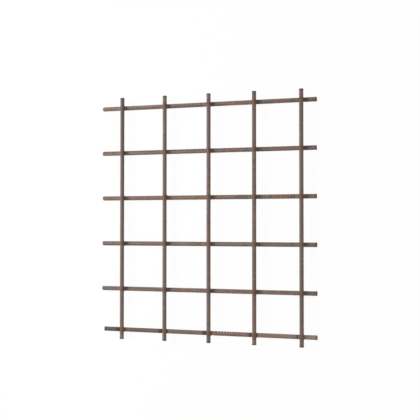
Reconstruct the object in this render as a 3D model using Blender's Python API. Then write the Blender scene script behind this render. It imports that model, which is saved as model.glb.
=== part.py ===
"""A welded wire mesh panel lying flat: plain line bars welded on top of ribbed cross bars.

Metres, +Z up. The cross bars run along X and rest on Z = 0. The line bars run along Y on
top of them. The origin is under the middle of the panel's outline.

Each crossing is a resistance weld. The bars are pressed into each other while hot, so the
line bar sits lower than if it only lay on the cross bar, and the metal that is squeezed out
stands round the joint as a thin collar. All bars and collars are one fused solid.
"""

from math import cos, pi, radians

import bmesh
import bpy
from mathutils import Matrix

# Bars. The cross bar's diameter is its nominal one: its ribs stand a little proud of it.
LINE_BAR_DIAMETER = 0.009
CROSS_BAR_DIAMETER = 0.0095
LINE_BAR_COUNT = 5
CROSS_BAR_COUNT = 6

# Grid, centre to centre. The front cross bar was set closer, to end the panel short.
LINE_BAR_PITCH = 0.100
CROSS_BAR_PITCH = 0.100
FRONT_PITCH = 0.090

# How far the bars run on past the outermost crossing, measured from the bar's centre
LEFT_OVERHANG = 0.050
RIGHT_OVERHANG = 0.031
BACK_OVERHANG = 0.022
FRONT_OVERHANG = 0.020
FRONT_BAR_SHORTFALL = 0.005  # the front cross bar is cut shorter at its left end

# Welds
WELD_SET_DOWN = 0.0008  # how far the two bars are pressed into each other
COLLAR_REACH = 0.0062  # from the middle of the crossing to the collar's thin rim
COLLAR_THICKNESS = 0.0030  # at the middle of the crossing

END_CHAMFER = 0.0008  # the burr left by the shears, ground off
BAR_SIDES = 12  # a multiple of four, so that flats face down, up and to the sides
COLLAR_RINGS = 6

SMOOTH_BELOW = radians(40)  # a flat meets the next at less than this

# Weathered mill scale with a bloom of brown rust
PATINA = {"Base Color": (0.165, 0.118, 0.100, 1.0), "Roughness": 0.7, "Metallic": 0.35}

ALONG_X = Matrix.Rotation(pi / 2, 4, "Y")
ALONG_Y = Matrix.Rotation(-pi / 2, 4, "X")


def clear_scene():
    for obj in list(bpy.data.objects):
        bpy.data.objects.remove(obj)


def weathered_steel():
    """Bare steel that has been stored outdoors."""
    material = bpy.data.materials.new("weathered_steel")
    material.use_nodes = True
    shader = material.node_tree.nodes["Principled BSDF"]
    for socket, value in PATINA.items():
        shader.inputs[socket].default_value = value
    return material


def line_bar_places():
    """The X of each line bar, from the left."""
    length = LEFT_OVERHANG + (LINE_BAR_COUNT - 1) * LINE_BAR_PITCH + RIGHT_OVERHANG
    first = LEFT_OVERHANG - length / 2
    return [first + i * LINE_BAR_PITCH for i in range(LINE_BAR_COUNT)]


def cross_bar_places():
    """The Y of each cross bar, from the back."""
    regular = (CROSS_BAR_COUNT - 2) * CROSS_BAR_PITCH
    length = BACK_OVERHANG + regular + FRONT_PITCH + FRONT_OVERHANG
    first = length / 2 - BACK_OVERHANG
    places = [first - i * CROSS_BAR_PITCH for i in range(CROSS_BAR_COUNT - 1)]
    return [*places, places[-1] - FRONT_PITCH]


def add_bar(bm, diameter, low, high, turn, place):
    """A round bar from low to high along its axis, with a flat facing down.

    turn lays the bar's own Z along the row's X or Y, and place moves it to its line.
    """
    length = high - low
    corner_radius = diameter / 2 / cos(pi / BAR_SIDES)
    middle = Matrix.Translation((0, 0, (low + high) / 2))
    flat_down = Matrix.Rotation(pi / BAR_SIDES, 4, "Z")
    made = bmesh.ops.create_cone(
        bm,
        cap_ends=True,
        segments=BAR_SIDES,
        radius1=corner_radius,
        radius2=corner_radius,
        depth=length,
        matrix=flat_down,
    )
    rims = {
        edge
        for vertex in made["verts"]
        for edge in vertex.link_edges
        if abs(edge.verts[0].co.z - edge.verts[1].co.z) < length / 2
    }
    new = bmesh.ops.bevel(
        bm,
        geom=list(rims),
        offset=END_CHAMFER,
        offset_type="OFFSET",
        segments=1,
        profile=0.5,
        affect="EDGES",
        material=-1,
    )
    vertices = {v for v in (*made["verts"], *new["verts"]) if v.is_valid}
    bmesh.ops.transform(bm, matrix=Matrix.Translation(place) @ turn @ middle, verts=list(vertices))


def bars_object(name, material, bars):
    """One mesh object of several bars, each a tuple of add_bar's values."""
    bm = bmesh.new()
    for bar in bars:
        add_bar(bm, *bar)
    return finished(name, bm, material)


def collars_object(name, material, places):
    """The squeezed-out metal of every weld: a thin lens lying on the joint's plane."""
    bm = bmesh.new()
    flatten = Matrix.Diagonal((COLLAR_REACH, COLLAR_REACH, COLLAR_THICKNESS / 2, 1))
    for place in places:
        bmesh.ops.create_uvsphere(
            bm,
            u_segments=BAR_SIDES,
            v_segments=COLLAR_RINGS,
            radius=1,
            matrix=Matrix.Translation(place) @ flatten,
        )
    return finished(name, bm, material)


def finished(name, bm, material):
    """Turns the bmesh into a smooth-shaded object of the scene."""
    mesh = bpy.data.meshes.new(name)
    bm.to_mesh(mesh)
    bm.free()
    mesh.materials.append(material)
    mesh.shade_smooth()
    mesh.set_sharp_from_angle(angle=SMOOTH_BELOW)
    obj = bpy.data.objects.new(name, mesh)
    bpy.context.scene.collection.objects.link(obj)
    return obj


def fuse(body, piece):
    """Joins piece to body, and keeps piece only as the union's hidden operand."""
    union = body.modifiers.new("fuse_" + piece.name, "BOOLEAN")
    union.operation = "UNION"
    union.solver = "EXACT"
    union.object = piece
    piece.hide_render = True
    piece.display_type = "WIRE"


def mesh_panel():
    """Lays out the bars and the welds, and fuses them all into the cross bars' object."""
    steel = weathered_steel()
    xs, ys = line_bar_places(), cross_bar_places()
    left, right = xs[0] - LEFT_OVERHANG, xs[-1] + RIGHT_OVERHANG
    back, front = ys[0] + BACK_OVERHANG, ys[-1] - FRONT_OVERHANG
    cross_bar_z = CROSS_BAR_DIAMETER / 2
    line_bar_z = CROSS_BAR_DIAMETER + LINE_BAR_DIAMETER / 2 - WELD_SET_DOWN
    weld_z = CROSS_BAR_DIAMETER - WELD_SET_DOWN / 2

    line_bars = [(LINE_BAR_DIAMETER, front, back, ALONG_Y, (x, 0, line_bar_z)) for x in xs]
    cross_bars = []
    for y in ys:
        start = left + (FRONT_BAR_SHORTFALL if y == ys[-1] else 0)
        cross_bars.append((CROSS_BAR_DIAMETER, start, right, ALONG_X, (0, y, cross_bar_z)))
    welds = [(x, y, weld_z) for x in xs for y in ys]

    panel = bars_object("mesh_panel", steel, cross_bars)
    fuse(panel, bars_object("line_bars", steel, line_bars))
    fuse(panel, collars_object("weld_collars", steel, welds))
    return panel


clear_scene()
mesh_panel()
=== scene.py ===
"""Looks of the welded wire mesh panel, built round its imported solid.

The panel lies flat. Plain line bars run along Y on top of ribbed cross bars that run along X,
and every crossing is a resistance weld. The camera looks down on it.
"""

from dataclasses import dataclass
from math import atan2, ceil, cos, exp, hypot, pi, radians, sin, tan
from types import SimpleNamespace

import bmesh
import bpy
from mathutils import Matrix, Vector, noise


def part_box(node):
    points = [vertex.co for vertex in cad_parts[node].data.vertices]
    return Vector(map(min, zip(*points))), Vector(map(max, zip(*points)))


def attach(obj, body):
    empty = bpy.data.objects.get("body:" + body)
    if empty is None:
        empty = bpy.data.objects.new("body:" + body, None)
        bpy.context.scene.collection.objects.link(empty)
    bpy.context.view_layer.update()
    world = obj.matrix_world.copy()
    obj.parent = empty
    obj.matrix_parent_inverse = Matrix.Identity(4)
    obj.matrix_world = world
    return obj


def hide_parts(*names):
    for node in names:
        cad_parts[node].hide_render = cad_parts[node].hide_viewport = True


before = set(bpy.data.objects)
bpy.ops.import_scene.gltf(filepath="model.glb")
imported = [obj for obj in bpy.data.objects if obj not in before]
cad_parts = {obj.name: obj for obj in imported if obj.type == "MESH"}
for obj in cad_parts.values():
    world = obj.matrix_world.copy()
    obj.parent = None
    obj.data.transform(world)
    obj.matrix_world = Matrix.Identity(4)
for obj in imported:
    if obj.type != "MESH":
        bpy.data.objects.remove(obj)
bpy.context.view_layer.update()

# The grid, from the solid's outline
LOW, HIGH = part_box("mesh_panel")
BAR_RADIUS = 0.0045
LINE_BAR_COUNT = 5
EVEN_CROSS_BARS = 5  # at the full pitch, before the front one, which is set closer
PITCH = 0.100
LEFT_OVERHANG = 0.050
BACK_OVERHANG = 0.022
FRONT_OVERHANG = 0.020
FRONT_BAR_SHORTFALL = 0.005
LINE_XS = [LOW.x + LEFT_OVERHANG + i * PITCH for i in range(LINE_BAR_COUNT)]
CROSS_YS = [HIGH.y - BACK_OVERHANG - i * PITCH for i in range(EVEN_CROSS_BARS)]
CROSS_YS.append(LOW.y + FRONT_OVERHANG)

# Ribbed bar: three rows of crescent ribs, two leaning one way and the third the other
CORE_RADIUS = 0.00466
RIB_HEIGHT = 0.00056
RIB_PITCH = 0.0062
RIB_ROWS = (1, 1, -1)
RIB_SHARE = 0.9  # of a row's width that its ribs take up
RIB_TAPER = 2.4  # power of the curve on which a rib runs out at its two ends
RIB_UNEVENNESS = 0.2  # share of its height that a rib may lack
RIB_UNEVENNESS_PER_M = 90
RUSTED_RIB = 0.7  # share of its height that stands out of the rust where it isn't rubbed bare
RIBS_BEFORE_START = 3  # more than the rows lean, so that all sides start past the end
SIDES_PER_ROW = 12
ROLL_STEP = 0.83  # how much further round each cross bar is rolled than the one behind it
# Rings across one rib's pitch: how far along the pitch, and how high on the rib
RIB_SECTION = (
    (0.00, 0.0),
    (0.05, 0.12),
    (0.10, 0.85),
    (0.15, 1.0),
    (0.25, 1.0),
    (0.30, 0.85),
    (0.35, 0.12),
    (0.40, 0.0),
    (0.70, 0.0),
)

# Heights of the bars' axes, with the panel resting on its ribs, and of the joints' plane
WELD_SET_DOWN = 0.0008
CROSS_Z = CORE_RADIUS + RIB_HEIGHT
LINE_Z = HIGH.z - BAR_RADIUS
WELD_Z = LINE_Z - BAR_RADIUS + WELD_SET_DOWN / 2

# Plain bar
PLAIN_SIDES = 36
PLAIN_RING = 0.0016
FIRST_LINE_SEED = 10  # line bars' random numbers go on from the cross bars'

# Unevenness of rolled and drawn bar
LUMP_HEIGHT = 0.00005
LUMPS_PER_M = 160

# Ends cut by shears. Each ring there is its distance from the cut and its share of the radius.
END_RINGS = (
    (0.0, 0.0),
    (0.0, 0.3),
    (0.0, 0.55),
    (0.0, 0.78),
    (0.0, 0.93),
    (0.0, 1.0),
    (0.0002, 1.0),
    (0.0005, 1.0),
    (0.0009, 1.0),
    (0.0014, 1.0),
    (0.0020, 1.0),
)
END_STRETCH = END_RINGS[-1][0]
END_TILT = radians(4)
TILT_SEED_STEP = 1.7
TILT_SEED = 2  # of noise_vector, which would follow the clock without one
TEAR_DEPTH = 0.00025
TEARS_ACROSS = 2.3
TEAR_AT_CENTRE = 1.2  # how much of the depth the middle has. The rim has 1 less.
# What the shears do to an end: how far along its edge is drawn in, by what share of the radius,
# and by what share it spreads sideways
DRAWN_END = (0.0020, 0.30, 0.02)
SQUARE_END = (0.0007, 0.10, 0.07)
SPREAD_REACH = 0.0030
SPREAD_FLATTENS = 1.5  # how much flatter an end gets for what it spreads
TIP_LENGTH = 0.0040

# Electrode marks, on the side away from the weld
MARK_DEPTH = 0.0003
MARK_HALF_LENGTH = 0.0042
MARK_END = 1.6  # half lengths from its middle to where a mark has run out

# How far along each bar the weld's heat has browned it
LINE_SCORCH_REACH = 0.0060
CROSS_SCORCH_REACH = 0.0042
# Welds that have rusted red since, by the numbers of their line bar and cross bar, and how red
RED_WELDS = {
    (1, 5): 0.7, (1, 6): 0.6, (2, 3): 0.9, (3, 2): 0.4, (4, 1): 0.4, (4, 5): 0.8, (4, 6): 0.4,
    (5, 1): 0.4, (5, 2): 1.0, (5, 3): 1.0,
}
# Painted shadow and painted light at the line bars: the cross bar is painted darker past each of
# them, where the line bar's shadow falls, and paler before it. On the front cross bar it is the
# other way round, and stronger.
PAINTED_SHADOW_OFFSET = 0.0095
PAINTED_SHADOW_REACH = 0.0045
PAINTED_SHADOW = 1.15
FRONT_PAINTED_SHADOW = -2.5
# How much darker each cross bar is at its left end and at its right, or paler where below 0.
# 1 is two thirds of the way to the shaded colours. The front cross bar's middle is given too, and
# its row is painted shade towards its left end and painted light towards its right.
CROSS_SHADES = ((-0.3, 0.5), (-0.2, 0.4), (0.0, 0.15), (0.4, 0.0), (0.4, -0.1), (1.2, 0.35, -1.6))
# The same of each line bar, at its front end and at its back
LINE_SHADES = ((-0.4, 1.05), (-0.35, -0.25), (-0.4, -0.25), (-0.4, -0.1), (0.0, 0.3))

# Welds
COLLAR_REACH = 0.0062
COLLAR_THICKNESS = 0.0030
COLLAR_SIDES = 48
COLLAR_RINGS = 18
COLLAR_LUMP = 0.5  # share of its thickness
COLLAR_LUMPS_PER_M = 600
# The collar's rim: how quickly it changes round the joint, and the share of its reach that its
# lobes and the teeth on them take
RIM_LOBES = 1.3
RIM_LOBE = 0.22
TEETH_PER_LOBE = 4
RIM_TOOTH = 0.14
RIM_LIFT = 0.0006
RIM_LIFTS_PER_LOBE = 1.7
RIM_SEED_STEP = 2.7
SEEDS_PER_ROW = 7

# Spatter. A bead's radius and place have a least value, and chance adds to it.
BEADS_PER_WELD = 5
BEAD_RADIUS = 0.0003
BEAD_RADIUS_SPREAD = 0.0004
BEAD_PLACE = 0.72  # share of the collar's reach
BEAD_SEED_STEP = 1.37

# Rust and bare scale that stand out: a bar's number, and the middle and half length of the stain
# along it. Cross bars are numbered from the back and line bars from the left.
TONES = ("grey", "tan", "pink", "orange")
# The rubbed patches are worn crests with a painted highlight, and painted shade between the ribs
PATCHES = (*TONES, "rubbed_and_highlit")  # rubbed: the ribs' crests are bright and their valleys dark
PATCH_END = 1.5  # half lengths from its middle to where a patch has faded out
MARKS = ("scorch", "blush", "shade", "crest", "tip", *PATCHES)
CROSS_STAINS = {
    "grey": (
        (1, -0.205, 0.010), (1, -0.005, 0.015), (1, 0.130, 0.015), (1, 0.195, 0.010),
        (2, -0.205, 0.010), (2, -0.115, 0.020), (2, 0.095, 0.010), (2, 0.225, 0.010),
        (3, 0.075, 0.025), (4, -0.205, 0.010), (4, 0.095, 0.010), (4, 0.160, 0.045),
        (5, -0.005, 0.015), (6, -0.215, 0.020),
    ),
    "tan": (
        (1, -0.155, 0.020), (2, -0.225, 0.010), (3, -0.225, 0.010), (3, -0.035, 0.040),
        (4, -0.035, 0.040), (5, -0.225, 0.010), (5, -0.140, 0.035), (5, 0.150, 0.025),
        (6, -0.035, 0.030), (6, 0.130, 0.015),
    ),
    "pink": (
        (1, -0.045, 0.020), (1, 0.165, 0.015), (2, -0.035, 0.040), (2, 0.060, 0.015),
        (2, 0.195, 0.010), (3, -0.140, 0.035), (3, 0.135, 0.010), (3, 0.225, 0.010),
        (4, -0.160, 0.015), (4, 0.065, 0.015), (5, -0.205, 0.010), (5, 0.060, 0.040),
        (6, -0.140, 0.035),
    ),
    "orange": (
        (1, -0.220, 0.010), (1, -0.120, 0.015), (1, 0.060, 0.020), (2, -0.150, 0.010),
        (2, 0.165, 0.015), (3, 0.030, 0.010), (3, 0.165, 0.020), (4, -0.120, 0.020),
        (5, -0.050, 0.020), (5, 0.185, 0.005), (6, 0.055, 0.035), (6, 0.160, 0.010),
        (6, 0.225, 0.010),
    ),
    # Worn crests with a painted highlight, and painted shade between the ribs
    "rubbed_and_highlit": (
        (1, -0.090, 0.090), (2, -0.150, 0.090), (2, -0.020, 0.040), (4, -0.180, 0.070),
        (4, 0.060, 0.040), (5, -0.180, 0.060), (6, -0.210, 0.030), (6, 0.055, 0.020),
    ),
}
LINE_STAINS = {
    "grey": (
        (1, 0.260, 0.005), (1, 0.225, 0.010), (1, 0.030, 0.010), (1, -0.200, 0.030),
        (2, 0.160, 0.005), (2, -0.070, 0.010), (2, -0.175, 0.015), (2, -0.260, 0.005),
        (3, 0.265, 0.005), (3, 0.200, 0.030), (3, 0.120, 0.015), (3, 0.000, 0.015),
        (3, -0.105, 0.040), (3, -0.180, 0.020), (3, -0.260, 0.005), (4, 0.195, 0.040),
        (4, 0.095, 0.040), (5, 0.125, 0.015), (5, -0.085, 0.025),
    ),
    "tan": (
        (2, -0.215, 0.020), (4, 0.260, 0.010), (4, -0.105, 0.040), (5, 0.195, 0.045),
        (5, 0.080, 0.030), (5, -0.005, 0.040), (5, -0.175, 0.055),
    ),
    "pink": (
        (1, 0.175, 0.025), (1, 0.090, 0.035), (1, -0.015, 0.035), (1, -0.110, 0.040),
        (2, 0.205, 0.035), (2, 0.090, 0.040), (2, -0.010, 0.045), (2, -0.115, 0.030),
        (3, 0.080, 0.020), (3, -0.030, 0.010), (4, -0.205, 0.030),
    ),
    "orange": (
        (1, -0.155, 0.005), (1, -0.245, 0.010), (2, 0.050, 0.015), (2, -0.245, 0.005),
        (4, 0.250, 0.005), (4, -0.230, 0.020), (5, 0.145, 0.005), (5, 0.045, 0.005),
    ),
}

# The photograph's view, from a fit to the 30 crossings
PHOTO_WIDTH = 420
FOCAL_LENGTH_PX = 761.7
SENSOR_MM = 36
CAMERA_PLACE = Vector((0.4929, -0.0175, 1.5638))
CAMERA_TURN = (radians(1.261), radians(17.200), radians(-0.355))
NEAR_CLIP = 0.01

KEY_ELEVATION = radians(33.5)
KEY_AZIMUTH = radians(168)  # anticlockwise from +X, as seen from above
KEY_DISTANCE = 1.4  # near enough that the panel's left is lit a little more than its right
KEY_SPREAD = radians(22)
SKY_LEVEL = 0.64
FLOOR_GLOW = 0.95
FLOOR_HALF_WIDTH = 6

SHARP_ANGLE = radians(48)


def srgb(red, green, blue):
    """A shader colour from the 0 to 255 values that a screen shows."""

    def linear(value):
        value /= 255
        return value / 12.92 if value <= 0.04045 else ((value + 0.055) / 1.055) ** 2.4

    return (linear(red), linear(green), linear(blue), 1.0)


def smooth(value):
    """0 up to 1 on an S curve as value goes from 0 to 1."""
    value = min(1.0, max(0.0, value))
    return value * value * (3 - 2 * value)


def fading(distance, reach):
    """1 at no distance, down a bell curve to about a third at the reach."""
    return exp(-((distance / reach) ** 2))


def between(start, end, share):
    """The value at a share of the way from start to end."""
    return start + (end - start) * share


def along_row(values, share):
    """The value at a share of the way along a row of evenly spaced values."""
    place = share * (len(values) - 1)
    step = min(int(place), len(values) - 2)
    return between(values[step], values[step + 1], place - step)


# Materials

# The Mix node's sockets for colours. They go by number, as those for numbers have the same names.
MIX_UNDER = 6
MIX_OVER = 7
MIX_RESULT = 2


class Signal:
    """A shader socket that takes part in Python sums, where each operator adds a Math node."""

    def __init__(self, tree, socket=None):
        self.tree = tree
        self.socket = socket

    def node(self, kind, settings=None, inputs=None, output=0):
        """One output of a new node. Its settings come first, then its sockets' values or links."""
        made = self.tree.nodes.new(kind)
        for name, value in (settings or {}).items():
            setattr(made, name, value)
        for name, value in (inputs or {}).items():
            if isinstance(value, Signal):
                self.tree.links.new(value.socket, made.inputs[name])
            else:
                made.inputs[name].default_value = value
        return Signal(self.tree, made.outputs[output])

    def math(self, operation, *values):
        return self.node("ShaderNodeMath", {"operation": operation}, dict(enumerate(values)))

    def __add__(self, other):
        return self.math("ADD", self, other)

    def __sub__(self, other):
        return self.math("SUBTRACT", self, other)

    def __rsub__(self, other):
        return self.math("SUBTRACT", other, self)

    def __mul__(self, other):
        return self.math("MULTIPLY", self, other)

    __radd__ = __add__
    __rmul__ = __mul__

    def band(self, low, high):
        """0 up to 1 as this value goes from low to high, on an S curve."""
        return self.node(
            "ShaderNodeMapRange",
            {"interpolation_type": "SMOOTHSTEP"},
            {"Value": self, "From Min": low, "From Max": high},
        )

    def paint(self, under, over):
        """The colour under, with the colour over laid on by this value."""
        return self.node(
            "ShaderNodeMix",
            {"data_type": "RGBA"},
            {"Factor": self, MIX_UNDER: under, MIX_OVER: over},
            MIX_RESULT,
        )

    def attribute(self, name):
        return self.node("ShaderNodeAttribute", {"attribute_name": name}, output="Fac")

    def stretched(self, scale):
        """Object coordinates, scaled along each axis."""
        place = self.node("ShaderNodeTexCoord", output="Object")
        return self.node("ShaderNodeMapping", inputs={"Vector": place, "Scale": scale})

    def noise(self, place, scale, detail=3.0, roughness=0.55):
        return self.node(
            "ShaderNodeTexNoise",
            inputs={"Vector": place, "Scale": scale, "Detail": detail, "Roughness": roughness},
        )

    def bump(self, strength, distance, height):
        return self.node(
            "ShaderNodeBump",
            inputs={"Strength": strength, "Distance": distance, "Height": height},
        )


def new_material(name):
    """A material with its tree, its Principled shader and a Signal to build on."""
    material = bpy.data.materials.new(name)
    material.use_nodes = True
    tree = material.node_tree
    return material, tree, tree.nodes["Principled BSDF"], Signal(tree)


def feed(tree, shader, **sockets):
    """Links signals to the shader's sockets, whose names are written with underscores."""
    for name, value in sockets.items():
        tree.links.new(value.socket, shader.inputs[name.replace("_", " ")])


# Each kind of bar's own colours: its mill scale, the film of rust on it, and the stains
RIBBED_TONES = {
    "scale": srgb(111, 98, 93),
    "rust": srgb(138, 114, 102),
    "grey": srgb(113, 101, 96),
    "tan": srgb(139, 115, 97),
    "pink": srgb(135, 106, 100),
    "orange": srgb(148, 107, 88),
}
PLAIN_TONES = {
    "scale": srgb(98, 88, 84),
    "rust": srgb(118, 98, 90),
    "grey": srgb(109, 97, 92),
    "tan": srgb(107, 92, 82),
    "pink": srgb(116, 94, 89),
    "orange": srgb(123, 94, 79),
}
RUST_BROWN = srgb(118, 96, 86)
RUST_ORANGE = srgb(150, 102, 80)
# The powdery and light rust colours also serve as painted light, and the pit colour and the
# near-black one as painted shadow
RUST_POWDER_AND_PAINTED_LIGHT = srgb(170, 144, 128)
PALE_RUST_AND_PAINTED_LIGHT = srgb(148, 122, 106)
SCALE_DARK = srgb(84, 76, 74)
SCALE_BLUE = srgb(108, 103, 108)
SHADED_SLATE = srgb(79, 75, 79)
SHADED_BROWN = srgb(88, 74, 66)
RUST_DARK = srgb(76, 56, 47)
WELD_BROWN = srgb(97, 74, 58)
WELD_RED = srgb(112, 64, 50)
PIT_DARK_AND_PAINTED_SHADE = srgb(54, 46, 43)
# Near black, only for painted shadow
PAINTED_SHADOW_BLACK = srgb(36, 31, 30)
WORN_AND_HIGHLIGHT = srgb(184, 170, 160)


def bar_noises(start, lengthwise):
    """The noises of a bar that runs on the shader axis lengthwise.

    A noise of scale 60 has features about 17 mm across, and one of scale 1900 half a millimetre.
    """

    def coordinates(along, across):
        return start.stretched(tuple(along if axis == lengthwise else across for axis in range(3)))

    drawn = coordinates(0.45, 1.0)
    streak = coordinates(0.06, 1.0)
    girth = coordinates(1.0, 0.2)
    even = coordinates(1.0, 1.0)

    patches = start.noise(drawn, 60, detail=4, roughness=0.6)
    bloom = start.noise(drawn, 150, detail=5, roughness=0.65)
    mottle = start.noise(even, 420, detail=4, roughness=0.6)
    grain = start.noise(even, 1900, detail=3, roughness=0.6)
    flakes = start.noise(drawn, 260, detail=5, roughness=0.6) + (grain - 0.5) * 0.2
    return SimpleNamespace(
        patches=patches,
        bloom=bloom,
        mottle=mottle,
        grain=grain,
        scratches=start.noise(streak, 1500, detail=2),
        bands=start.noise(girth, 240, detail=3, roughness=0.6),
        tint=start.noise(girth, 180, detail=2),
        pits=start.noise(even, 1000, detail=3).band(0.56, 0.72) * bloom.band(0.42, 0.62),
        powder=start.noise(even, 640, detail=3, roughness=0.6).band(0.60, 0.72),
        specks=start.noise(even, 1300, detail=2, roughness=0.5).band(0.60, 0.66),
        flaked=flakes.band(0.52, 0.56),
        uneven=(mottle - 0.5) * 1.6 + (bloom - 0.5) * 1.8,
        rusted=(patches + (mottle - 0.5) * 0.5).band(0.40, 0.56),
    )


def rust_film(noises, tones):
    """Mill scale under patches of rust, paler where the scale has flaked off."""
    colour = noises.rusted.paint(tones["scale"], tones["rust"])
    colour = (noises.flaked * 0.5).paint(colour, PALE_RUST_AND_PAINTED_LIGHT)
    return ((1 - noises.flaked) * noises.mottle.band(0.48, 0.66) * 0.5).paint(colour, SCALE_DARK)


def weathered(colour, noises, banded, tinted):
    """Bands and tints across the bar, powdery rust and scratches."""
    colour = (noises.bands.band(0.53, 0.68) * banded).paint(colour, RUST_DARK)
    colour = ((1 - noises.bands).band(0.53, 0.68) * banded).paint(colour, PALE_RUST_AND_PAINTED_LIGHT)
    colour = (noises.tint.band(0.53, 0.66) * tinted).paint(colour, RUST_ORANGE)
    colour = ((1 - noises.tint).band(0.53, 0.66) * tinted).paint(colour, SCALE_BLUE)
    colour = (noises.powder * (noises.bloom.band(0.45, 0.6) * 0.4)).paint(colour, RUST_POWDER_AND_PAINTED_LIGHT)
    return (noises.scratches.band(0.45, 0.75) * 0.2).paint(colour, PIT_DARK_AND_PAINTED_SHADE)


def worn_and_highlit_ribs(colour, noises, crest, rubbed_and_highlit):
    """Rust with painted shade between the ribs, and bare metal with a painted highlight on their
    crests.
    """
    valley_dark = (noises.mottle + noises.bloom + rubbed_and_highlit * 0.3).band(0.8, 1.2)
    valley_rust_and_shade = (1 - crest.band(0.0, 0.6)) * valley_dark
    # Rust and painted shade in the valleys
    colour = (valley_rust_and_shade * 0.62).paint(colour, RUST_DARK)
    # Bare crests with a painted highlight
    worn_and_highlit = crest * (noises.grain * 0.6 + noises.bands + rubbed_and_highlit * 0.4).band(0.70, 0.94)
    return worn_and_highlit.paint(colour, WORN_AND_HIGHLIGHT)


def painted_shade_and_light(colour, noises, shade):
    """Darker where shade is above 0, down to near black, and paler where it is below.

    Beside the line bars and along the front cross bar this is painted shade and painted light.
    """
    shaded = noises.patches.band(0.45, 0.55).paint(SHADED_SLATE, SHADED_BROWN)
    # Painted shade
    colour = (shade.band(0, 1.6) * 0.96).paint(colour, shaded)
    colour = (shade.band(1.0, 2.0) * 0.75).paint(colour, PIT_DARK_AND_PAINTED_SHADE)
    # Painted shadow, near black
    colour = (shade.band(2.2, 3.4) * 0.9).paint(colour, PAINTED_SHADOW_BLACK)
    # Painted light
    colour = ((0 - shade).band(0, 1) * 0.45).paint(colour, PALE_RUST_AND_PAINTED_LIGHT)
    return ((0 - shade).band(1.0, 2.0) * 0.7).paint(colour, RUST_POWDER_AND_PAINTED_LIGHT)


def bar_steel(name, lengthwise, tones, ribs):
    """Steel bar stored outdoors: mill scale under a film of brown rust, with stains on it, and with
    painted shade and painted light.

    lengthwise is the shader axis that the bar runs on, and ribs says whether it has ribs.
    """
    material, tree, shader, start = new_material(name)
    noises = bar_noises(start, lengthwise)
    marks = {mark: start.attribute(mark) for mark in MARKS}
    stains = {tone: (marks[tone] + noises.uneven).band(0.25, 0.85) for tone in TONES}
    rubbed_and_highlit = (marks["rubbed_and_highlit"] + noises.uneven * 0.5).band(0.25, 0.85)
    banded = rubbed_and_highlit * 0.35 + (0.5 if ribs else 0.4)
    tinted = 0.3 if ribs else 0.1

    colour = rust_film(noises, tones)
    for tone, stain in stains.items():
        colour = (stain * 0.9).paint(colour, tones[tone])
    colour = weathered(colour, noises, banded, tinted)
    if ribs:
        colour = worn_and_highlit_ribs(colour, noises, marks["crest"], rubbed_and_highlit)
    colour = painted_shade_and_light(colour, noises, marks["shade"])
    browned = marks["scorch"] * (noises.mottle + 0.45).band(0.55, 1.0)
    colour = (browned * 0.85).paint(colour, WELD_BROWN)
    colour = (marks["blush"] * noises.bloom.band(0.2, 0.55) * 0.85).paint(colour, WELD_RED)
    colour = (noises.specks * noises.bloom.band(0.4, 0.6) * 0.5).paint(colour, RUST_ORANGE)
    colour = (noises.pits * 0.65).paint(colour, PIT_DARK_AND_PAINTED_SHADE)
    colour = (marks["tip"] * 0.7).paint(colour, PIT_DARK_AND_PAINTED_SHADE)

    fine = noises.grain * 0.5 + noises.mottle * 0.5 + noises.scratches * 0.25
    rough = 0.54 + noises.rusted * 0.1 + noises.flaked * 0.1 + (noises.mottle - 0.5) * 0.2
    feed(
        tree,
        shader,
        Base_Color=colour,
        Roughness=rough - marks["crest"] * 0.1,
        Metallic=0.25 - noises.rusted * 0.12 - stains["orange"] * 0.1,
        Normal=start.bump(0.7, 0.00022, fine - noises.pits * 0.6 - noises.flaked * 0.35),
    )
    return material


def weld_steel():
    """Squeezed-out weld metal: dark oxide with fresh rust in it."""
    material, tree, shader, start = new_material("weld_steel")
    even = start.stretched((1.0, 1.0, 1.0))
    mottle = start.noise(even, 380, detail=4, roughness=0.65)
    grain = start.noise(even, 1700, detail=3)
    rusted = mottle.band(0.42, 0.6)
    colour = rusted.paint(WELD_BROWN, RUST_BROWN)
    colour = (grain.band(0.5, 0.65) * 0.35).paint(colour, RUST_ORANGE)
    colour = ((1 - mottle).band(0.5, 0.62) * 0.5).paint(colour, RUST_DARK)
    feed(
        tree,
        shader,
        Base_Color=colour,
        Roughness=0.6 + rusted * 0.2,
        Metallic=0.25 - rusted * 0.2,
        Normal=start.bump(0.8, 0.00025, mottle + grain * 0.5),
    )
    return material


def cut_steel():
    """The face that the shears leave, torn and rusted over."""
    material, tree, shader, start = new_material("cut_steel")
    even = start.stretched((1.0, 1.0, 1.0))
    torn = start.noise(even, 700, detail=5, roughness=0.7)
    stain = start.noise(even, 240, detail=3)
    colour = stain.band(0.4, 0.62).paint(RUST_DARK, RUST_BROWN)
    colour = (torn.band(0.55, 0.7) * 0.6).paint(colour, PIT_DARK_AND_PAINTED_SHADE)
    feed(
        tree,
        shader,
        Base_Color=colour,
        Roughness=0.6 + torn * 0.25,
        Metallic=0.3 - stain * 0.25,
        Normal=start.bump(0.8, 0.00025, torn),
    )
    return material


# Bars


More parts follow.
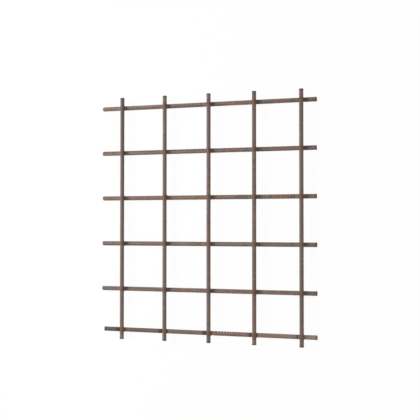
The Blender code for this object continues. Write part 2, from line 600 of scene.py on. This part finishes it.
@dataclass
class Bar:
    """The surface of one bar, which lies along its own X from 0, round Y = Z = 0.

    The welds' places are counted along it, and red_welds has the place and the redness of those
    that have rusted. weld_side is 1 where the welds are on its top and -1 where they are under it.
    """

    radius: float
    length: float
    welds: list
    red_welds: list
    scorch_reach: float
    shade_at: object
    weld_side: int
    ends: tuple
    stains: dict
    seed: int

    def __post_init__(self):
        self.leans = [
            noise.noise_vector(Vector((self.seed * TILT_SEED_STEP, end, 0.5))) * 2 for end in (0, 1)
        ]

    def cut(self, end, turn, share):
        """How far along the bar its cut is, at a turn round it and a share of its radius."""
        lean = self.leans[end] * END_TILT
        y, z = share * cos(turn), share * sin(turn)
        inward = BAR_RADIUS * (hypot(lean.x, lean.y) + lean.x * y + lean.y * z)
        torn = noise.noise(Vector((y * TEARS_ACROSS, z * TEARS_ACROSS, self.seed + end * 0.5)))
        inward += TEAR_DEPTH * (1 + torn) * (TEAR_AT_CENTRE - share)
        return self.length - inward if end else inward

    def point(self, along, turn, share, rib, to_cut):
        """The surface point there, and the marks that the material reads."""
        reach, draw, spread = self.ends[int(along > self.length / 2)]
        seat = Vector((along, cos(turn) * self.radius, sin(turn) * self.radius))
        lump = noise.noise(seat * LUMPS_PER_M + Vector((self.seed, 0, 0)))
        radius = self.radius + RIB_HEIGHT * rib - LUMP_HEIGHT * (1 + lump)
        radius *= share * (1 - draw * max(0.0, 1 - to_cut / reach) ** 2)
        squeezed = fading(to_cut, SPREAD_REACH) * spread
        y = radius * cos(turn) * (1 + squeezed)
        z = radius * sin(turn) * (1 - SPREAD_FLATTENS * squeezed)

        away = min(abs(along - weld) for weld in self.welds)
        pressed = MARK_DEPTH * smooth(MARK_END - away / MARK_HALF_LENGTH)
        if pressed:
            z = max(z * self.weld_side, pressed - self.radius) * self.weld_side
        scorch = fading(away, self.scorch_reach)
        blush = sum(
            redness * fading(along - weld, self.scorch_reach) for weld, redness in self.red_welds
        )
        tip = smooth(1 - to_cut / TIP_LENGTH)
        patches = [patch_at(self.stains[kind], along) for kind in PATCHES]
        return (along, y, z), (scorch, blush, self.shade_at(along), rib, tip, *patches)


def stains_on(stains, number, start):
    """Each kind of patch's places on one bar: its middle from the bar's start, and half length."""
    return {
        kind: [
            (middle - start, half) for bar, middle, half in stains.get(kind, ()) if bar == number
        ]
        for kind in PATCHES
    }


def patch_at(places, along):
    """1 within the patches, down to 0 past their ends."""
    return max(
        (smooth(PATCH_END - abs(along - middle) / half) for middle, half in places), default=0.0
    )


def rolled_tube(bar, rings, sides, roll, along_at, rib_at):
    """A closed bar rolled up from a flat grid that is 1 across, with its middle at 0.

    along_at gives a ring's place along the bar at one of its sides, and rib_at the height of the
    ribs there. The rings that overshoot an end are drawn back to it and merged.
    """
    ends = len(END_RINGS)
    count = rings + 2 * ends
    bm = bmesh.new()
    bmesh.ops.create_grid(bm, x_segments=count, y_segments=sides, size=0.5)
    marks = [bm.verts.layers.float.new(name) for name in MARKS]
    cut_rings = sum(inset == 0 for inset, share in END_RINGS) - 1
    for face in bm.faces:
        ring = (face.calc_center_median().x + 0.5) * count
        face.material_index = int(min(ring, count - ring) < cut_rings)
    for vertex in bm.verts:
        ring = round((vertex.co.x + 0.5) * count)
        side = round((vertex.co.y + 0.5) * sides)
        turn = roll + 2 * pi * side / sides
        from_end = min(ring, count - ring)
        inset, share = END_RINGS[min(from_end, ends - 1)]
        low, high = bar.cut(0, turn, share), bar.cut(1, turn, share)
        if from_end >= ends:
            along = along_at(ring - ends, side)
            along = min(max(along, low + END_STRETCH), high - END_STRETCH)
        else:
            along = low + inset if ring < ends else high - inset
        to_cut = min(along - low, high - along)
        vertex.co, values = bar.point(along, turn, share, rib_at(along, side), to_cut)
        for mark, value in zip(marks, values):
            vertex[mark] = value
    bmesh.ops.remove_doubles(bm, verts=bm.verts, dist=1e-6)
    return bm


def finished(name, bm, materials, place):
    """Lays the shape in its place and makes it a piece of the panel."""
    bmesh.ops.transform(bm, matrix=place, verts=bm.verts)
    bmesh.ops.recalc_face_normals(bm, faces=bm.faces)
    mesh = bpy.data.meshes.new(name)
    bm.to_mesh(mesh)
    bm.free()
    for material in materials:
        mesh.materials.append(material)
    mesh.shade_smooth()
    mesh.set_sharp_from_angle(angle=SHARP_ANGLE)
    piece = bpy.data.objects.new(name, mesh)
    bpy.context.scene.collection.objects.link(piece)
    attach(piece, "root")
    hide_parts("mesh_panel")
    return piece


def ribs_lean(side):
    """How far along the bar its ribs have moved on by that side, in ribs."""
    row, column = divmod(side, SIDES_PER_ROW)
    return sum(RIB_ROWS[:row]) + (RIB_ROWS[row] * column / SIDES_PER_ROW if column else 0)


def rib_section(phase):
    """How high on a rib the surface is at a share of the pitch, from 0 to 1 on the crest."""
    steps = [*RIB_SECTION, (1.0, 0.0)]
    height = 0.0
    for (at, low), (until, high) in zip(steps, steps[1:]):
        if at <= phase <= until:
            height = between(low, high, (phase - at) / (until - at))
    return height


def ribbed_bar(number, materials, start, y):
    """A cross bar. Its rings zigzag round it with the ribs, so that each rib has its own rings."""
    seed = number - 1
    at_front = number == len(CROSS_YS)
    painted_shadow_depth = FRONT_PAINTED_SHADOW if at_front else PAINTED_SHADOW
    welds = [x - start for x in LINE_XS]
    stains = stains_on(CROSS_STAINS, number, start)
    length = HIGH.x - start

    def shade_at(along):
        # Painted shadow past each line bar, and painted light before it
        shadow_and_light = sum(
            fading(along - weld - PAINTED_SHADOW_OFFSET, PAINTED_SHADOW_REACH)
            - fading(along - weld + PAINTED_SHADOW_OFFSET, PAINTED_SHADOW_REACH)
            for weld in welds
        )
        return painted_shadow_depth * shadow_and_light + along_row(CROSS_SHADES[number - 1], along / length)

    def along_at(ring, side):
        rib, step = divmod(ring, len(RIB_SECTION))
        return (rib + RIB_SECTION[step][0] + ribs_lean(side) - RIBS_BEFORE_START) * RIB_PITCH

    def rib_at(along, side):
        row, column = divmod(side, SIDES_PER_ROW)
        height = rib_section((along / RIB_PITCH - ribs_lean(side)) % 1)
        from_middle = abs(2 * column / SIDES_PER_ROW - 1) / RIB_SHARE
        chance = abs(noise.noise(Vector((along * RIB_UNEVENNESS_PER_M, seed, row))))
        bare = RUSTED_RIB + (1 - RUSTED_RIB) * patch_at(stains["rubbed_and_highlit"], along)
        taper = max(0.0, 1 - from_middle**RIB_TAPER)
        return height * taper * (1 - RIB_UNEVENNESS * chance) * bare

    bar = Bar(
        radius=CORE_RADIUS,
        length=length,
        welds=welds,
        red_welds=[
            (welds[line - 1], redness)
            for (line, cross), redness in RED_WELDS.items()
            if cross == number
        ],
        scorch_reach=CROSS_SCORCH_REACH,
        shade_at=shade_at,
        weld_side=1,
        ends=(SQUARE_END if at_front else DRAWN_END, SQUARE_END),
        stains=stains,
        seed=seed,
    )
    rings = (ceil(length / RIB_PITCH) + RIBS_BEFORE_START + 1) * len(RIB_SECTION)
    sides = len(RIB_ROWS) * SIDES_PER_ROW
    bm = rolled_tube(bar, rings, sides, seed * ROLL_STEP, along_at, rib_at)
    return finished(f"cross_bar_{number}", bm, materials, Matrix.Translation((start, y, CROSS_Z)))


def plain_bar(number, materials, x):
    """A line bar, drawn smooth."""
    length = HIGH.y - LOW.y
    welds = [y - LOW.y for y in CROSS_YS]
    rings = ceil(length / PLAIN_RING)

    def shade_at(along):
        return along_row(LINE_SHADES[number - 1], along / length)

    def along_at(ring, side):
        return ring * length / rings

    def rib_at(along, side):
        return 0.0

    bar = Bar(
        radius=BAR_RADIUS,
        length=length,
        welds=welds,
        red_welds=[
            (welds[cross - 1], redness)
            for (line, cross), redness in RED_WELDS.items()
            if line == number
        ],
        scorch_reach=LINE_SCORCH_REACH,
        shade_at=shade_at,
        weld_side=-1,
        ends=(SQUARE_END, SQUARE_END),
        stains=stains_on(LINE_STAINS, number, LOW.y),
        seed=FIRST_LINE_SEED + number,
    )
    bm = rolled_tube(bar, rings, PLAIN_SIDES, 0.0, along_at, rib_at)
    laid = Matrix.Translation((x, LOW.y, LINE_Z)) @ Matrix.Rotation(pi / 2, 4, "Z")
    return finished(f"line_bar_{number}", bm, materials, laid)


# Welds


def add_collar(bm, x, y, seed):
    """The metal squeezed out between two bars: a lumpy lens with a blunt, ragged rim."""
    size = Matrix.Diagonal((COLLAR_REACH, COLLAR_REACH, COLLAR_THICKNESS / 2, 1))
    centre = Vector((x, y, WELD_Z))
    made = bmesh.ops.create_uvsphere(
        bm,
        u_segments=COLLAR_SIDES,
        v_segments=COLLAR_RINGS,
        radius=1,
        matrix=Matrix.Translation(centre) @ size,
    )
    for vertex in made["verts"]:
        out = vertex.co - centre
        reach = hypot(out.x, out.y) / COLLAR_REACH
        turn = atan2(out.y, out.x)
        ring = Vector((cos(turn) * RIM_LOBES, sin(turn) * RIM_LOBES, seed * RIM_SEED_STEP))
        lobe = RIM_LOBE * reach * noise.noise(ring)
        tooth = RIM_TOOTH * reach * noise.noise(ring * TEETH_PER_LOBE)
        ragged = 1 + lobe + tooth
        waves = ring * RIM_LIFTS_PER_LOBE + Vector((5, 0, 0))
        lift = reach * RIM_LIFT * noise.noise(waves)
        lump = 1 + COLLAR_LUMP * noise.noise(vertex.co * COLLAR_LUMPS_PER_M)
        thick = out.z * hypot(1, reach) * lump
        vertex.co = centre + Vector((out.x * ragged, out.y * ragged, thick + lift))


def add_spatter(bm, x, y, seed):
    """Beads of metal that were thrown out of the joint and stuck to it."""
    for bead in range(BEADS_PER_WELD):
        chance = noise.cell_vector(Vector((seed * BEAD_SEED_STEP + 0.5, bead + 0.5, 0.5)))
        turn = 2 * pi * chance.x
        radius = BEAD_RADIUS + BEAD_RADIUS_SPREAD * abs(chance.y)
        reach = COLLAR_REACH * between(BEAD_PLACE, 1, abs(chance.z))
        place = Vector((x + reach * cos(turn), y + reach * sin(turn), WELD_Z))
        bmesh.ops.create_icosphere(
            bm, subdivisions=2, radius=radius, matrix=Matrix.Translation(place)
        )


def weld_row(number, material, y):
    """The welds along one cross bar."""
    bm = bmesh.new()
    for column, x in enumerate(LINE_XS):
        seed = (number - 1) * SEEDS_PER_ROW + column
        add_collar(bm, x, y, seed)
        add_spatter(bm, x, y, seed)
    return finished(f"welds_row_{number}", bm, [material], Matrix.Identity(4))


# Stage


def add_camera():
    turn_x, turn_y, turn_z = CAMERA_TURN
    data = bpy.data.cameras.new("camera")
    data.sensor_width = SENSOR_MM
    data.lens = FOCAL_LENGTH_PX / PHOTO_WIDTH * SENSOR_MM
    data.clip_start = NEAR_CLIP
    camera = bpy.data.objects.new("camera", data)
    camera.matrix_world = (
        Matrix.Translation(CAMERA_PLACE)
        @ Matrix.Rotation(turn_x, 4, "X")
        @ Matrix.Rotation(turn_y, 4, "Y")
        @ Matrix.Rotation(turn_z, 4, "Z")
    )
    bpy.context.scene.collection.objects.link(camera)
    bpy.context.scene.camera = camera


def seen_or_mirrored(start):
    """1 on rays from the camera, in reflections and through glass, and otherwise 0."""
    camera, glossy, clear = (
        start.node("ShaderNodeLightPath", output=ray)
        for ray in ("Is Camera Ray", "Is Glossy Ray", "Is Transmission Ray")
    )
    return start.math("MAXIMUM", start.math("MAXIMUM", camera, glossy), clear)


def add_floor():
    """A white floor that keeps a faint shadow of the panel."""
    material = bpy.data.materials.new("floor_white")
    material.use_nodes = True
    tree = material.node_tree
    start = Signal(tree)
    lit = start.node("ShaderNodeBsdfDiffuse", inputs={"Color": (1, 1, 1, 1)})
    glow = start.node("ShaderNodeEmission", inputs={"Color": (1, 1, 1, 1), "Strength": 1})
    share = seen_or_mirrored(start) * FLOOR_GLOW
    mixed = start.node("ShaderNodeMixShader", inputs={0: share, 1: lit, 2: glow})
    tree.links.new(mixed.socket, tree.nodes["Material Output"].inputs["Surface"])

    bm = bmesh.new()
    bmesh.ops.create_grid(bm, x_segments=1, y_segments=1, size=FLOOR_HALF_WIDTH)
    mesh = bpy.data.meshes.new("floor")
    bm.to_mesh(mesh)
    bm.free()
    mesh.materials.append(material)
    floor = bpy.data.objects.new("floor", mesh)
    bpy.context.scene.collection.objects.link(floor)


def add_lights():
    """A large soft key from the left and an even sky, which together light level white as white."""
    key = bpy.data.lights.new("key", "AREA")
    key.shape = "DISK"
    key.size = 2 * KEY_DISTANCE * tan(KEY_SPREAD / 2)
    key.energy = (1 - SKY_LEVEL) * (pi * KEY_DISTANCE) ** 2 / sin(KEY_ELEVATION)
    lamp = bpy.data.objects.new("key", key)
    lamp.visible_camera = False
    lamp.matrix_world = (
        Matrix.Rotation(KEY_AZIMUTH, 4, "Z")
        @ Matrix.Rotation(pi / 2 - KEY_ELEVATION, 4, "Y")
        @ Matrix.Translation((0, 0, KEY_DISTANCE))
    )
    bpy.context.scene.collection.objects.link(lamp)

    world = bpy.data.worlds.new("sky")
    world.use_nodes = True
    tree = world.node_tree
    start = Signal(tree)
    level = seen_or_mirrored(start) * (1 - SKY_LEVEL) + SKY_LEVEL
    tree.nodes["Background"].inputs["Color"].default_value = (1, 1, 1, 1)
    tree.links.new(level.socket, tree.nodes["Background"].inputs["Strength"])
    bpy.context.scene.world = world


def build():
    noise.seed_set(TILT_SEED)
    add_camera()
    cut_face = cut_steel()
    ribbed = [bar_steel("ribbed_bar_steel", 0, RIBBED_TONES, ribs=True), cut_face]
    plain = [bar_steel("plain_bar_steel", 1, PLAIN_TONES, ribs=False), cut_face]
    weld = weld_steel()

    for number, y in enumerate(CROSS_YS, 1):
        shortfall = FRONT_BAR_SHORTFALL if number == len(CROSS_YS) else 0
        ribbed_bar(number, ribbed, LOW.x + shortfall, y)
        weld_row(number, weld, y)
    for number, x in enumerate(LINE_XS, 1):
        plain_bar(number, plain, x)
    add_floor()
    add_lights()
    bpy.context.scene.view_settings.view_transform = "Standard"


build()
